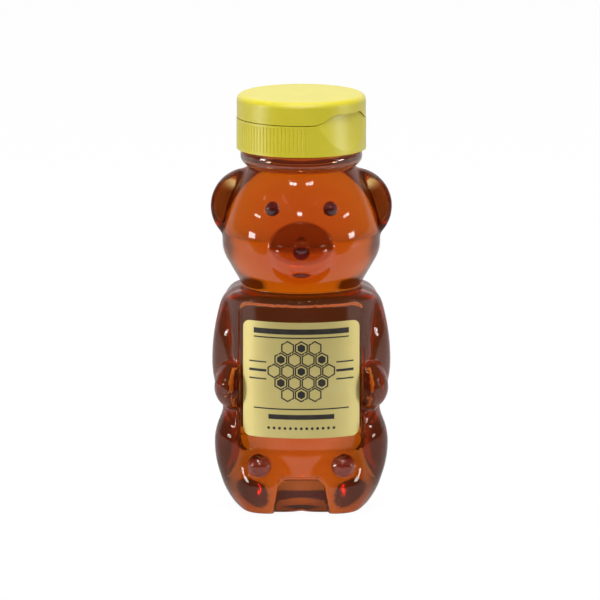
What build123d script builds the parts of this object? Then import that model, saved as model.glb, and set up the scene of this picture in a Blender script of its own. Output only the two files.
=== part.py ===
"""A bear-shaped squeeze bottle of honey with a screw-on flip-top cap, in millimetres.

The bear faces -Y, the viewer's right is +X and Z runs up from the standing face.
Each piece is built round the neck's axis as the Z axis and moved back at the end, so
that the origin is the bottom middle of the whole. One closed bear form, drawn in by an
inset, gives the outside of the blown bottle, the space inside it and its honey.
"""

import os
from math import asin, atan2, cos, degrees, radians, sin, tan

from build123d import *

# Angles and one overrun that serves every cut
quarter_turn = 90
overrun = 3.0

# How blunt an egg's ends are, as a share of its girth
end_round_share = 0.6

# Blown walls and the honey's film gap
blown_wall = 0.6
honey_gap = 0.1

# Trunk, an oval prism with a recessed label panel in front and behind
trunk_half_width = 27.3
trunk_half_depth = 25.0
trunk_front_radius = 30.0
trunk_front_arc_angle = 33.27
trunk_above_jaw = 2.3
shoulder_radius = 3.0
side_shoulder_radius = 7.0
trunk_foot_radius = 11.0
panel_half_width = 21.4
panel_bottom = 22.5
panel_head_room = 3.4
panel_corner = 3.5
panel_depth = 0.4

# Head, a turned body: a straight jaw, round cheeks and a long crown curve
cheek_height = 93.2
cheek_above_jaw = 18.1
head_height = 45.8
head_radius = 27.5
cheek_round = 12.0
jaw_slope = 30
crown_lip = 0.05

# Ears, thick discs with rounded rims and a dish in front
ear_reach = 18.3
ear_set_back = 2.0
ear_above_cheek = 12.2
ear_radius = 13.4
ear_half_thickness = 5.2
ear_rim_round_share = 0.92
ear_dish_reach = 20.6
ear_dish_radius = 9.3
ear_dish_depth = 2.4

# Face
muzzle_ahead = 19.8
muzzle_radius = 11.7
muzzle_length = 12.4
nose_above_cheek = 3.2
nose_ahead = 29.8
nose_radius = 2.9
eye_reach = 10.0
eye_ahead = 21.7
eye_above_cheek = 15.1
eye_radius = 2.5
mouth_below_cheek = 8.2
mouth_half_width = 3.9
mouth_rise = 1.7
mouth_depth = 0.4

# Arms and paws
arm_reach = 19.6
arm_ahead = 2.1
arm_height = 51.5
arm_radius = 11.6
arm_up = 26.2
arm_down = 19.6
arm_round_share = 0.8
paw_reach = 22.6
paw_ahead = 10.6
paw_height = 43.2
paw_radius = 7.8
paw_up = 10.3
paw_down = 8.2

# Legs, feet and toes
leg_reach = 17.3
leg_ahead = 6.2
leg_height = 23.2
leg_radius = 13.0
leg_up = 18.0
leg_down = 23.6
foot_reach = 12.4
foot_ahead = 14.8
foot_height = 8.2
foot_radius = 9.4
foot_up = 11.0
foot_down = 11.6
toe_reach = 14.5
toe_ahead = 20.4
toe_height = 17.1
toe_radius = 4.5

# Standing face: an arch between the feet and a pushed-up dome
arch_height = 12.4
arch_top_half_width = 7.1
arch_bottom_half_width = 9.5
arch_corner = 2.5
arch_reach = 18.3
push_up_radius = 13.0
push_up_depth = 2.2

# Neck, a rolled collar and the plain finish that carries the thread
collar_sink = 1.5
collar_root_step = 0.2
collar_tuck = 1.3
collar_height = 6.2
collar_edge = 1.0
collar_roll = 2.3
finish_wall = 1.7
finish_height = 10.0
rim_edge = 0.5
thread_depth = 1.15
fill_below_rim = 8.5

# Labels, a foil patch in each panel
label_half_width = 20.3
label_above_panel_foot = 4.9
label_head_room = 5.6
label_corner = 2.6
label_thickness = 0.15
back_label_above_panel_foot = 2.5
back_label_head_room = 3.0

# Cap liner
liner_thickness = 0.8
liner_gap = 0.1
liner_edge_gap = 0.15

# Cap base, a ribbed outer skirt round a threaded inner skirt
cap_radius = 22.65
base_height = 10.9
skirt_wall = 1.1
skirt_foot_lip = 0.9
skirts_gap = 1.55
inner_skirt_clearance = 0.3
inner_skirt_wall = 0.95
inner_skirt_lift = 0.9
deck_thickness = 1.1
deck_rise = 0.5
rib_depth = 0.35
rib_head_room = 0.9
rib_pitch_angle = 3.6
ribs_per_side = 34
strap_clear_angle = 13.5

# Snap bead and spout on the deck
parting_gap = 0.3
bead_clearance = 0.35
bead_wall = 0.9
bead_height = 1.5
spout_radius = 5.4
spout_tip_radius = 4.1
spout_height = 4.0
spout_bore_radius = 2.75

# Thumb scoop in front of the lid's lifted edge
thumb_angle = -42
scoop_half_width = 14.0
plateau_half_width = 5.4
notch_rise = 3.2
scoop_depth = 1.4
scoop_foot = 1.3

# Lid
lid_inset = 0.1
lid_height = 8.3
lid_wall = 1.1
lid_top_thickness = 1.2
lid_corner = 2.2
plug_radius = 2.3
plug_tip_radius = 1.9
plug_dip = 2.2

# Living hinge, a thin strap behind the cap
strap_half_width = 4.0
strap_thickness = 0.5
strap_down = 1.5
strap_up = 1.7
strap_web = 0.25
strap_fit = 0.1

# The cap's size runs inwards to the neck that it goes over
skirt_bore = cap_radius - skirt_wall
inner_skirt_radius = skirt_bore - skirts_gap
inner_skirt_bore = inner_skirt_radius - inner_skirt_wall
thread_crest_radius = inner_skirt_bore - inner_skirt_clearance
finish_radius = thread_crest_radius - thread_depth
bore_radius = finish_radius - finish_wall
collar_radius = cap_radius - collar_tuck
collar_root_radius = finish_radius + collar_root_step
liner_radius = thread_crest_radius - liner_edge_gap

# Heights that follow, the trunk and the face from the cheek
head_bottom = cheek_height - cheek_above_jaw
head_top = head_bottom + head_height
trunk_height = head_bottom + trunk_above_jaw
panel_height = trunk_height - panel_head_room - panel_bottom
label_height = panel_height - label_above_panel_foot - label_head_room
back_label_height = panel_height - back_label_above_panel_foot - back_label_head_room
ear_height = cheek_height + ear_above_cheek
nose_height = cheek_height + nose_above_cheek
eye_height = cheek_height + eye_above_cheek
mouth_height = cheek_height - mouth_below_cheek

# The crown runs from the cheek to just outside the collar's root
crown_rise = head_top - cheek_height
crown_run = head_radius - collar_root_radius - crown_lip
crown_round = (crown_rise ** 2 + crown_run ** 2) / (2 * crown_run)

# Heights and radii of the neck, the cap and the lid
collar_bottom = head_top - collar_sink
collar_top = collar_bottom + collar_height
rim_height = collar_top + finish_height
fill_height = rim_height - fill_below_rim
liner_bottom = rim_height + liner_gap
deck_bottom = liner_bottom + liner_thickness + liner_gap
deck_top = deck_bottom + deck_thickness
parting = deck_top - deck_rise
base_bottom = parting - base_height
lid_bottom = parting + parting_gap
lid_radius = cap_radius - lid_inset
lid_bore = lid_radius - lid_wall
lid_top = parting + lid_height
lid_ceiling = lid_top - lid_top_thickness
bead_radius = lid_bore - bead_clearance
thumb_plane = Plane.XY.rotated((0, 0, thumb_angle))
hinge_height = parting + parting_gap / 2

# The finished pieces move back so that the origin is the middle of their standing place
settle = Location((0, (nose_ahead + nose_radius - head_radius) / 2, 0))


def egg(place, girth, tip, tail, round_share=end_round_share):
    """A turned body about the plane's Z axis, tip above its origin and tail below."""
    blunt = girth * round_share
    side = Plane(place.origin, x_dir=place.x_dir, z_dir=-place.y_dir)
    with BuildPart() as body:
        with BuildSketch(side):
            with BuildLine():
                for reach, way in ((tip, 1), (tail, -1)):
                    rise = reach - blunt
                    side_radius = (girth ** 2 + rise ** 2 - blunt ** 2) / (2 * (girth - blunt))
                    lean = degrees(atan2(rise, side_radius - girth))
                    middle = (girth - side_radius, 0)
                    CenterArc(middle, side_radius, 0, way * lean)
                    CenterArc((0, way * rise), blunt, way * lean, way * (quarter_turn - lean))
                Line((0, -tail), (0, tip))
            make_face()
        revolve(axis=Axis(place.origin, place.z_dir))
    return body.part


def upright(reach, ahead, height):
    """The planes of a pair of upright bodies, their X axes pointing out at the sides."""
    right = Plane((reach, -ahead, height), x_dir=(1, 0, 0), z_dir=(0, 0, 1))
    left = Plane((-reach, -ahead, height), x_dir=(-1, 0, 0), z_dir=(0, 0, 1))
    return right, left


def facing(reach, ahead, height):
    """The plane of a body whose axis points out of the bear's face."""
    return Plane((reach, -ahead, height), x_dir=(1, 0, 0), z_dir=(0, -1, 0))


def oval(inset):
    """The trunk's section: broad arcs front and back, side arcs and a blend arc between."""
    width = trunk_half_width - inset
    depth = trunk_half_depth - inset
    front = trunk_front_radius - inset
    front_angle = trunk_front_arc_angle
    blend_angle = (quarter_turn - front_angle) / 2
    side_angle = quarter_turn - front_angle - blend_angle
    front_sin = sin(radians(front_angle))
    front_cos = cos(radians(front_angle))
    side_sin = sin(radians(side_angle))
    side_cos = cos(radians(side_angle))
    # The two arcs after the front one must together reach the side's middle
    across = width - front * front_sin
    along = depth - front + front * front_cos
    spread = (side_cos - front_sin) * side_sin - (1 - side_cos) * (front_cos - side_sin)
    blend = (across * side_sin - along * (1 - side_cos)) / spread
    side = (along * (side_cos - front_sin) - across * (front_cos - side_sin)) / spread
    blend_x = (front - blend) * front_sin
    blend_y = depth - front + (front - blend) * front_cos
    with BuildSketch() as section:
        with BuildLine():
            for way in (1, -1):
                front_middle = (0, way * (depth - front))
                CenterArc(front_middle, front, way * (quarter_turn - front_angle), way * 2 * front_angle)
                side_middle = (way * (width - side), 0)
                side_start = quarter_turn - way * quarter_turn - side_angle
                CenterArc(side_middle, side, side_start, 2 * side_angle)
                right = (blend_x, way * blend_y)
                CenterArc(right, blend, way * side_angle, way * blend_angle)
                left = (-blend_x, way * blend_y)
                left_start = way * (quarter_turn + front_angle)
                CenterArc(left, blend, left_start, way * blend_angle)
        make_face()
    return section.sketch


def trunk_form(inset):
    """The oval trunk with a rounded shoulder and foot."""
    with BuildPart() as trunk:
        with BuildSketch(Plane.XY.offset(inset)):
            add(oval(inset))
        extrude(amount=trunk_height - 2 * inset)
        fillet(trunk.faces().sort_by(Axis.Z)[-1].edges(), shoulder_radius - inset)
        fillet(trunk.faces().sort_by(Axis.Z)[0].edges(), trunk_foot_radius - inset)
        height = trunk_height - 2 * inset
        with BuildSketch(Plane.XZ) as front:
            with Locations((0, inset + height / 2)):
                Rectangle(2 * (trunk_half_width - inset), height)
            fillet(front.vertices().group_by(Axis.Y)[-1], side_shoulder_radius - inset)
        extrude(amount=trunk_half_depth, both=True, mode=Mode.INTERSECT)
    return trunk.part


def head_form(inset):
    """The head, turned about the neck's axis."""
    cheek = cheek_round - inset
    crown = crown_round - inset
    crown_angle = degrees(asin((head_top - cheek_height) / crown))
    crown_centre = head_radius - crown_round
    crown_end = crown_centre + crown * cos(radians(crown_angle))
    jaw_top = cheek_height - cheek * sin(radians(jaw_slope))
    jaw_reach = head_radius - cheek_round + cheek * cos(radians(jaw_slope))
    jaw_foot = jaw_reach - (jaw_top - head_bottom) * tan(radians(jaw_slope))
    with BuildPart() as head:
        with BuildSketch(Plane.XZ):
            with BuildLine():
                Line((jaw_foot, head_bottom), (jaw_reach, jaw_top))
                CenterArc((head_radius - cheek_round, cheek_height), cheek, -jaw_slope, jaw_slope)
                CenterArc((crown_centre, cheek_height), crown, 0, crown_angle)
                Polyline((crown_end, head_top), (0, head_top), (0, head_bottom), (jaw_foot, head_bottom))
            make_face()
        revolve(axis=Axis.Z)
    return head.part


def ear_form(side, inset):
    """One ear, a thick disc across the head with a rounded rim and a dish in front."""
    thickness = ear_half_thickness - inset
    ear_place = facing(side * ear_reach, -ear_set_back, ear_height)
    dish_radius = (ear_dish_radius ** 2 + ear_dish_depth ** 2) / (2 * ear_dish_depth)
    dish_ahead = ear_half_thickness - ear_set_back - ear_dish_depth + dish_radius
    with BuildPart() as ear:
        with BuildSketch(ear_place):
            Circle(ear_radius - inset)
        extrude(amount=thickness, both=True)
        fillet(ear.edges().filter_by(GeomType.CIRCLE), thickness * ear_rim_round_share)
        with Locations((side * ear_dish_reach, -dish_ahead, ear_height)):
            Sphere(dish_radius + inset, mode=Mode.SUBTRACT)
    return ear.part


def limb_forms(inset):
    """The arms, legs, feet and paws, a pair of upright eggs each."""
    arms = upright(arm_reach, arm_ahead, arm_height)
    legs = upright(leg_reach, leg_ahead, leg_height)
    feet = upright(foot_reach, foot_ahead, foot_height)
    paws = upright(paw_reach, paw_ahead, paw_height)
    sizes = (
        (arms, arm_radius, arm_up, arm_down, arm_round_share),
        (legs, leg_radius, leg_up, leg_down, end_round_share),
        (feet, foot_radius, foot_up, foot_down, end_round_share),
        (paws, paw_radius, paw_up, paw_down, end_round_share),
    )
    return [
        egg(place, radius - inset, up - inset, down - inset, share)
        for places, radius, up, down, share in sizes
        for place in places
    ]


def floor_cuts(inset):
    """What lies below the standing face, the dome pushed up in it and the foot arch."""
    dome_radius = (push_up_radius ** 2 + push_up_depth ** 2) / (2 * push_up_depth)
    reach = 2 * (trunk_half_width + ear_radius)
    with BuildPart() as cuts:
        with BuildSketch(Plane.XY.offset(inset)):
            Rectangle(reach, reach)
        extrude(amount=-trunk_half_depth)
        with Locations((0, 0, push_up_depth - dome_radius)):
            Sphere(dome_radius + inset)
        with BuildSketch(Plane.XZ.offset(arch_reach - inset)) as arch:
            with BuildLine():
                foot_width = arch_bottom_half_width + inset
                top_width = arch_top_half_width + inset
                top = arch_height + inset
                Polyline(
                    (-foot_width, -overrun),
                    (-top_width, top),
                    (top_width, top),
                    (foot_width, -overrun),
                    close=True,
                )
            make_face()
            fillet(arch.vertices().group_by(Axis.Y)[-1], arch_corner)
        extrude(amount=trunk_half_depth)
    return cuts.part


def oval_bar(inset):
    """An endless bar with the trunk's oval section."""
    with BuildPart() as bar:
        with BuildSketch(Plane.XY.offset(-overrun)):
            add(oval(inset))
        extrude(amount=trunk_height + 2 * overrun)
    return bar.part


def panel_recess(inset):
    """What the label panels take off the belly, the back and the limbs beside them."""
    with BuildPart() as recess:
        with BuildSketch(Plane.XZ):
            with Locations((0, panel_bottom + panel_height / 2)):
                width = 2 * (panel_half_width + inset)
                height = panel_height + 2 * inset
                RectangleRounded(width, height, panel_corner + inset)
        extrude(amount=trunk_half_depth + overrun, both=True)
        add(oval_bar(panel_depth + inset), mode=Mode.SUBTRACT)
    return recess.part


def bear_form(inset):
    """The closed bear from its standing face to the root of the collar."""
    with BuildPart() as bear:
        add(trunk_form(inset))
        add(head_form(inset))
        for limb in limb_forms(inset):
            add(limb)
        with Locations((toe_reach, -toe_ahead, toe_height), (-toe_reach, -toe_ahead, toe_height)):
            Sphere(toe_radius - inset)
        add(ear_form(1, inset))
        add(ear_form(-1, inset))
        muzzle_place = facing(0, muzzle_ahead, cheek_height)
        muzzle_size = muzzle_length - inset
        add(egg(muzzle_place, muzzle_radius - inset, muzzle_size, muzzle_size))
        add(panel_recess(inset), mode=Mode.SUBTRACT)
        add(floor_cuts(inset), mode=Mode.SUBTRACT)
    return bear.part


def face_beads():
    """Nose and eyes, beads that stand out of the face."""
    with BuildPart() as beads:
        with Locations(facing(0, nose_ahead, nose_height)):
            Sphere(nose_radius)
        right_eye = facing(eye_reach, eye_ahead, eye_height)
        left_eye = facing(-eye_reach, eye_ahead, eye_height)
        with Locations(right_eye, left_eye):
            Sphere(eye_radius)
    return beads.part


def mouth_cut():
    """The open mouth, a low triangle pressed into the muzzle."""
    with BuildPart() as mouth:
        with BuildSketch(Plane.XZ.offset(muzzle_ahead)):
            with BuildLine():
                Polyline(
                    (-mouth_half_width, mouth_height),
                    (0, mouth_height + mouth_rise),
                    (mouth_half_width, mouth_height),
                    close=True,
                )
            make_face()
        extrude(amount=muzzle_length)
        deep_place = facing(0, muzzle_ahead, cheek_height)
        deep_size = muzzle_length - mouth_depth
        add(egg(deep_place, muzzle_radius - mouth_depth, deep_size, deep_size), mode=Mode.SUBTRACT)
    return mouth.part


def neck_tube():
    """The rolled collar and the plain finish above it, with its bore."""
    edge = collar_radius - collar_edge
    rim_corner = finish_radius - rim_edge
    belly = (collar_radius, collar_top - collar_edge)
    belly_foot = (collar_radius, collar_bottom + collar_roll)
    root = (collar_root_radius, collar_bottom)
    with BuildPart() as neck:
        with BuildSketch(Plane.XZ):
            with BuildLine():
                Polyline(
                    root,
                    (bore_radius, collar_bottom),
                    (bore_radius, rim_height),
                    (rim_corner, rim_height),
                    (finish_radius, rim_height - rim_edge),
                    (finish_radius, collar_top),
                    (edge, collar_top),
                )
                RadiusArc((edge, collar_top), belly, collar_edge)
                Line(belly, belly_foot)
                Spline(belly_foot, root, tangents=((0, -1), (-1, 0)))
            make_face()
        revolve(axis=Axis.Z)
    return neck.part


def bore_plug(inset, top):
    """The round column inside the neck, from the head up to a height."""
    with BuildPart() as plug:
        with BuildSketch(Plane.XY.offset(collar_bottom)):
            Circle(bore_radius - inset)
        extrude(amount=top - collar_bottom)
    return plug.part


def notch_bar(lift):
    """A bar through the cap's front with the lifted edge's S-shaped outline on top."""
    facing_thumb = Plane((0, 0, 0), x_dir=thumb_plane.y_dir, z_dir=thumb_plane.x_dir)
    low = parting + lift
    high = low + notch_rise
    with BuildPart() as bar:
        with BuildSketch(facing_thumb):
            with BuildLine():
                Spline(
                    (-scoop_half_width, low),
                    (-plateau_half_width, high),
                    tangents=((1, 0), (1, 0)),
                )
                Line((-plateau_half_width, high), (plateau_half_width, high))
                Spline(
                    (plateau_half_width, high),
                    (scoop_half_width, low),
                    tangents=((1, 0), (1, 0)),
                )
                Polyline(
                    (scoop_half_width, low),
                    (scoop_half_width, base_bottom),
                    (-scoop_half_width, base_bottom),
                    (-scoop_half_width, low),
                )
            make_face()
        extrude(amount=cap_radius + overrun)
    return bar.part


def ring(inner, outer, bottom, top):
    """A plain ring about the cap's axis."""
    with BuildPart() as band:
        with BuildSketch(Plane.XY.offset(bottom)):
            Circle(outer)
            Circle(inner, mode=Mode.SUBTRACT)
        extrude(amount=top - bottom)
    return band.part


def strap_pocket(bottom, top):
    """The room for the hinge strap, behind the cap, between two heights."""
    width = 2 * (strap_half_width + strap_fit)
    pocket_face = cap_radius - strap_thickness - strap_fit
    with BuildPart() as pocket:
        with BuildSketch(thumb_plane.offset(bottom)):
            with Locations((-pocket_face, 0)):
                Rectangle(2 * strap_thickness, width, align=(Align.MAX, Align.CENTER))
        extrude(amount=top - bottom)
    return pocket.part


os.makedirs("parts", exist_ok=True)

# Bottle, one blown shell open at its rim
with BuildPart() as bottle_shell:
    add(bear_form(0))
    add(face_beads())
    add(mouth_cut(), mode=Mode.SUBTRACT)
    add(neck_tube())
    add(bear_form(blown_wall), mode=Mode.SUBTRACT)
    add(bore_plug(0, rim_height + overrun), mode=Mode.SUBTRACT)

bottle_shell.part.move(settle)
bottle_shell.part.label = "bottle_shell"
export_step(bottle_shell.part, "parts/bottle_shell.step")

# Honey, the inside of the bottle up to its fill height
with BuildPart() as honey_fill:
    add(bear_form(blown_wall + honey_gap))
    add(bore_plug(honey_gap, fill_height))

honey_fill.part.move(settle)
honey_fill.part.label = "honey_fill"
export_step(honey_fill.part, "parts/honey_fill.step")

# Front label, a patch of foil that follows the oval belly
with BuildPart() as front_label:
    with BuildSketch(Plane.XZ):
        with Locations((0, panel_bottom + label_above_panel_foot + label_height / 2)):
            RectangleRounded(2 * label_half_width, label_height, label_corner)
    extrude(amount=trunk_half_depth)
    add(oval_bar(panel_depth - label_thickness), mode=Mode.INTERSECT)
    add(oval_bar(panel_depth), mode=Mode.SUBTRACT)

front_label.part.move(settle)
front_label.part.label = "front_label"
export_step(front_label.part, "parts/front_label.step")

# Back label, a taller patch of the same foil on the oval back
with BuildPart() as back_label:
    with BuildSketch(Plane.XZ):
        with Locations((0, panel_bottom + back_label_above_panel_foot + back_label_height / 2)):
            RectangleRounded(2 * label_half_width, back_label_height, label_corner)
    extrude(amount=-trunk_half_depth)
    add(oval_bar(panel_depth - label_thickness), mode=Mode.INTERSECT)
    add(oval_bar(panel_depth), mode=Mode.SUBTRACT)

back_label.part.move(settle)
back_label.part.label = "back_label"
export_step(back_label.part, "parts/back_label.step")

# Cap liner, a foam disc between the rim and the cap's deck
with BuildPart() as cap_liner:
    with BuildSketch(Plane.XY.offset(liner_bottom)):
        Circle(liner_radius)
    extrude(amount=liner_thickness)

cap_liner.part.move(settle)
cap_liner.part.label = "cap_liner"
export_step(cap_liner.part, "parts/cap_liner.step")

# Cap base, one turned section with its scoop, grip grooves and hinge pocket
bead_bore = bead_radius - bead_wall
bead_top = deck_top + bead_height
spout_top = deck_top + spout_height
inner_skirt_foot = base_bottom + inner_skirt_lift
front_reach = cap_radius - scoop_depth
scoop_rise = front_reach - (cap_radius ** 2 - scoop_half_width ** 2) ** 0.5
scoop_radius = (scoop_half_width ** 2 + scoop_rise ** 2) / (2 * scoop_rise)
scoop_bottom = base_bottom + scoop_foot
scoop_height = parting + notch_rise - scoop_bottom

with BuildPart() as scoop_cutter:
    with BuildSketch(thumb_plane.offset(scoop_bottom)):
        with Locations((cap_radius, 0)):
            Rectangle(2 * scoop_half_width, 2 * (scoop_half_width + overrun))
    extrude(amount=scoop_height + overrun)
    with BuildSketch(thumb_plane.offset(scoop_bottom)):
        with Locations((cap_radius - scoop_radius, 0)):
            Circle(scoop_radius)
    with BuildSketch(thumb_plane.offset(scoop_bottom + scoop_height)):
        with Locations((front_reach - scoop_radius, 0)):
            Circle(scoop_radius)
    loft(mode=Mode.SUBTRACT)

with BuildPart() as scoop_backing:
    add(ring(inner_skirt_radius, cap_radius, scoop_bottom, deck_bottom))
    add(ring(bead_bore, cap_radius, deck_bottom, parting + notch_rise))
    add(notch_bar(0), mode=Mode.INTERSECT)

with BuildPart() as cap_base:
    with BuildSketch(Plane.XZ):
        with BuildLine():
            Polyline(
                (spout_bore_radius, deck_bottom),
                (inner_skirt_bore, deck_bottom),
                (inner_skirt_bore, inner_skirt_foot),
                (inner_skirt_radius, inner_skirt_foot),
                (inner_skirt_radius, deck_bottom),
                (skirt_bore, deck_bottom),
                (skirt_bore, base_bottom),
                (cap_radius, base_bottom),
                (cap_radius, parting),
                (bead_radius, parting),
                (bead_radius, bead_top),
                (bead_bore, bead_top),
                (bead_bore, deck_top),
                (spout_radius, deck_top),
                (spout_tip_radius, spout_top),
                (spout_bore_radius, spout_top),
                close=True,
            )
        make_face()
    revolve(axis=Axis.Z)
    add(scoop_backing.part)
    add(scoop_cutter.part, mode=Mode.SUBTRACT)
    rib_bottom = base_bottom + skirt_foot_lip
    rib_top = parting - rib_head_room
    run = ribs_per_side * rib_pitch_angle
    hinge_side = 2 * quarter_turn - strap_clear_angle
    with BuildSketch(thumb_plane.offset(rib_bottom)):
        with PolarLocations(cap_radius, ribs_per_side, hinge_side - run, run):
            Rectangle(rib_depth, rib_depth, rotation=quarter_turn / 2)
        with PolarLocations(cap_radius, ribs_per_side, run - hinge_side, -run):
            Rectangle(rib_depth, rib_depth, rotation=quarter_turn / 2)
    extrude(amount=rib_top - rib_bottom, mode=Mode.SUBTRACT)
    add(strap_pocket(parting - strap_down - strap_fit, parting + overrun), mode=Mode.SUBTRACT)

cap_base.part.move(settle)
cap_base.part.label = "cap_base"
export_step(cap_base.part, "parts/cap_base.step")

# Lid, a turned shell with its front edge lifted and a plug for the spout
with BuildPart() as cap_lid:
    with BuildSketch(Plane.XY.offset(lid_bottom)):
        Circle(lid_radius)
    extrude(amount=lid_top - lid_bottom)
    fillet(cap_lid.edges().sort_by(Axis.Z)[-1], lid_corner)
    with BuildSketch(Plane.XY.offset(lid_bottom)):
        Circle(lid_bore)
    extrude(amount=lid_ceiling - lid_bottom, mode=Mode.SUBTRACT)
    with BuildSketch(Plane.XY.offset(lid_ceiling)):
        Circle(plug_radius)
    with BuildSketch(Plane.XY.offset(spout_top - plug_dip)):
        Circle(plug_tip_radius)
    loft()
    add(notch_bar(parting_gap), mode=Mode.SUBTRACT)
    add(strap_pocket(lid_bottom - overrun, lid_bottom + strap_up + strap_fit), mode=Mode.SUBTRACT)

cap_lid.part.move(settle)
cap_lid.part.label = "cap_lid"
export_step(cap_lid.part, "parts/cap_lid.step")

# Living hinge, one strap thinned to a web along the hinge line
strap_face = Plane((0, 0, 0), x_dir=-thumb_plane.x_dir, z_dir=thumb_plane.y_dir)
with BuildPart() as living_hinge:
    with BuildSketch(strap_face):
        with BuildLine():
            inner = cap_radius - strap_thickness
            web = cap_radius - strap_web
            Polyline(
                (cap_radius, parting - strap_down),
                (cap_radius, lid_bottom + strap_up),
                (inner, lid_bottom + strap_up),
                (inner, hinge_height + parting_gap),
                (web, hinge_height),
                (inner, hinge_height - parting_gap),
                (inner, parting - strap_down),
                close=True,
            )
        make_face()
    extrude(amount=strap_half_width, both=True)

living_hinge.part.move(settle)
living_hinge.part.label = "living_hinge"
export_step(living_hinge.part, "parts/living_hinge.step")
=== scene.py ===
"""Looks of the bear-shaped honey squeeze bottle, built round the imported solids.

Lengths are millimetres about the neck's axis unless a name ends in _m or _M. The bear
faces -Y, and what stands on both its sides is given once, for positive x. field_*
functions give signed distances, negative inside.
"""

import math

import bmesh
import bpy
import numpy as np
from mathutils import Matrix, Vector


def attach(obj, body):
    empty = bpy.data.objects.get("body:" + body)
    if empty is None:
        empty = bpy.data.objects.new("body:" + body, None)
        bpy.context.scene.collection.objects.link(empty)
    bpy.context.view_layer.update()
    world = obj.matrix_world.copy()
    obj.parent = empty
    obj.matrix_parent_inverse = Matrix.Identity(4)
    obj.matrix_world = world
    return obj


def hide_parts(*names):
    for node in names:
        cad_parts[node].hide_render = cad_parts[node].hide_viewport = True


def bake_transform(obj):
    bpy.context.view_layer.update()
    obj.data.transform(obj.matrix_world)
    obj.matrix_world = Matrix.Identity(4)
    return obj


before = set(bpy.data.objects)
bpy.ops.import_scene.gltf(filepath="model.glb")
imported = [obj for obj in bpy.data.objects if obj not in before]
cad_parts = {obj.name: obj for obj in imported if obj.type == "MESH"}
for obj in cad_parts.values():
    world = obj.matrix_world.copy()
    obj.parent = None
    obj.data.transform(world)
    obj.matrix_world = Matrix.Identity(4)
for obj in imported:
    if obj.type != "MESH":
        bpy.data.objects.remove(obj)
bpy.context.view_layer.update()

MM = 0.001
NECK_Y = 2.6
FAR = 1e3

# Walls and levels, and how far the neck and its bore reach down into the head
WALL = 0.6
WETTED = 0.3
FILL = 127.1
MENISCUS, MENISCUS_REACH = 0.5, 0.8
COLLAR_BOTTOM, COLLAR_TOP = 119.4, 125.6
RIM = 135.6
BORE = 15.9
NECK_SUNK, BORE_SUNK, HEADROOM = 2, 4, 0.6

# The trunk: an oval of broad arcs front and back and tighter ones at the sides
TRUNK_HALF_WIDTH, TRUNK_HALF_DEPTH = 27.3, 25.0
TRUNK_BROAD = 30.0
TRUNK_MIDDLE, TRUNK_TOP = 40.0, 77.4
TRUNK_TOP_ROUND, SHOULDER_ROUND, TRUNK_FOOT_ROUND = 3.0, 7.0, 11.0

# The head, turned about the axis
CHEEK_HEIGHT, CHEEK_REACH, CHEEK_ROUND = 93.2, 27.5, 12.0
CROWN_ROUND = 44.6
JAW_SLOPE = math.radians(30)
HEAD_BOTTOM, HEAD_TOP = 75.1, 120.9

# An ear: a thick disc with a round rim, dished in front
EAR_AT = (18.3, 2.0, 105.4)
EAR_RADIUS, EAR_HALF_THICK, EAR_ROUND = 13.38, 5.2, 4.8
DISH_AT, DISH_RADIUS = (20.6, -20.02, 105.4), 19.22

# Eggs: a middle, the girth, the reach up or forward, the reach down, how blunt the ends are
BLUNT = 0.6
ARM = ((19.6, -2.1, 51.5), 11.6, 26.2, 19.6, 0.8)
LEG = ((17.3, -6.2, 23.2), 13.0, 18.0, 23.6)
FOOT = ((12.4, -14.8, 8.2), 9.4, 11.0, 11.6)
PAW = ((22.6, -10.6, 43.2), 7.8, 10.3, 8.2)
LIMB_JOINS = ((ARM, 1.6), (LEG, 2.2), (FOOT, 7.0), (PAW, 1.3))
TOE_AT, TOE_RADIUS = (14.6, -21.4, 17.1), 4.3
MUZZLE_AT, MUZZLE_GIRTH, MUZZLE_REACH = (0, -19.8, 93.2), 11.7, 12.4
FACE_WIDEN = 1.1

# Nose, eyes and the mouth, a low triangle pressed into the muzzle
NOSE_Y, NOSE_HEIGHT, NOSE_RADIUS, NOSE_TALL = -29.8, 95.9, 2.9, 1.25
EYE_AT, EYE_RADIUS = (10.0, -21.7, 108.3), 2.5
MOUTH_HALF_WIDTH, MOUTH_HEIGHT, MOUTH_BOTTOM, MOUTH_DEPTH = 3.9, 1.7, 85.0, 0.5

# Fine relief: arcs in the front view, as centre, radius, start and stop in degrees, half width
BROW, BROW_HEIGHT = ((10.0, 108.0), 4.9, 60, 190, 0.8), 0.42
SMILE, SMILE_DEPTH = ((0, 101.7), 15.0, -119.6, -60.4, 0.55), 0.42
FINGER, FINGER_DEPTH = ((25.2, 45.3), 4.2, -135, -55, 0.6), 0.4
FACE_FROM, FACE_FADE = 15, 4
PAW_FROM, PAW_FADE = 8, 3
SEAM_HALF_WIDTH, SEAM_HEIGHT = 0.28, 0.14

# The label's panel, the pushed-up base and the arch between the feet
PANEL_HALF_WIDTH, PANEL_HALF_HEIGHT, PANEL_MIDDLE = 21.4, 25.75, 48.25
PANEL_ROUND, PANEL_DEPTH = 3.5, 0.4
BASE_DOME_AT, BASE_DOME_RADIUS = (0, 0, -37.31), 39.51
ARCH_HALF_WIDTH, ARCH_HEIGHT, ARCH_ROUND, ARCH_FROM = 9.5, 12.4, 2.5, 18.3
ARCH_TILT = 2.4 / 15.4
BASE_EDGE_ROUND = 0.5

# The collar, the neck's finish and its thread, which starts and stops at angles in radians
COLLAR_RADIUS, COLLAR_ROUND = 21.35, 1.0
FLARE_FROM, FLARE_OUT, FLARE_UP, FLARE_ROUND = 17.8, 0.62, 0.85, 1.4
FINISH_RADIUS, RIM_ROUND = 17.6, 0.5
THREAD_PITCH, THREAD_BOTTOM = 4.2333, 128.1
THREAD_RADIUS, THREAD_THICK = 17.45, 1.25
THREAD_START, THREAD_STOP = -2.4, 7.4


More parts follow.
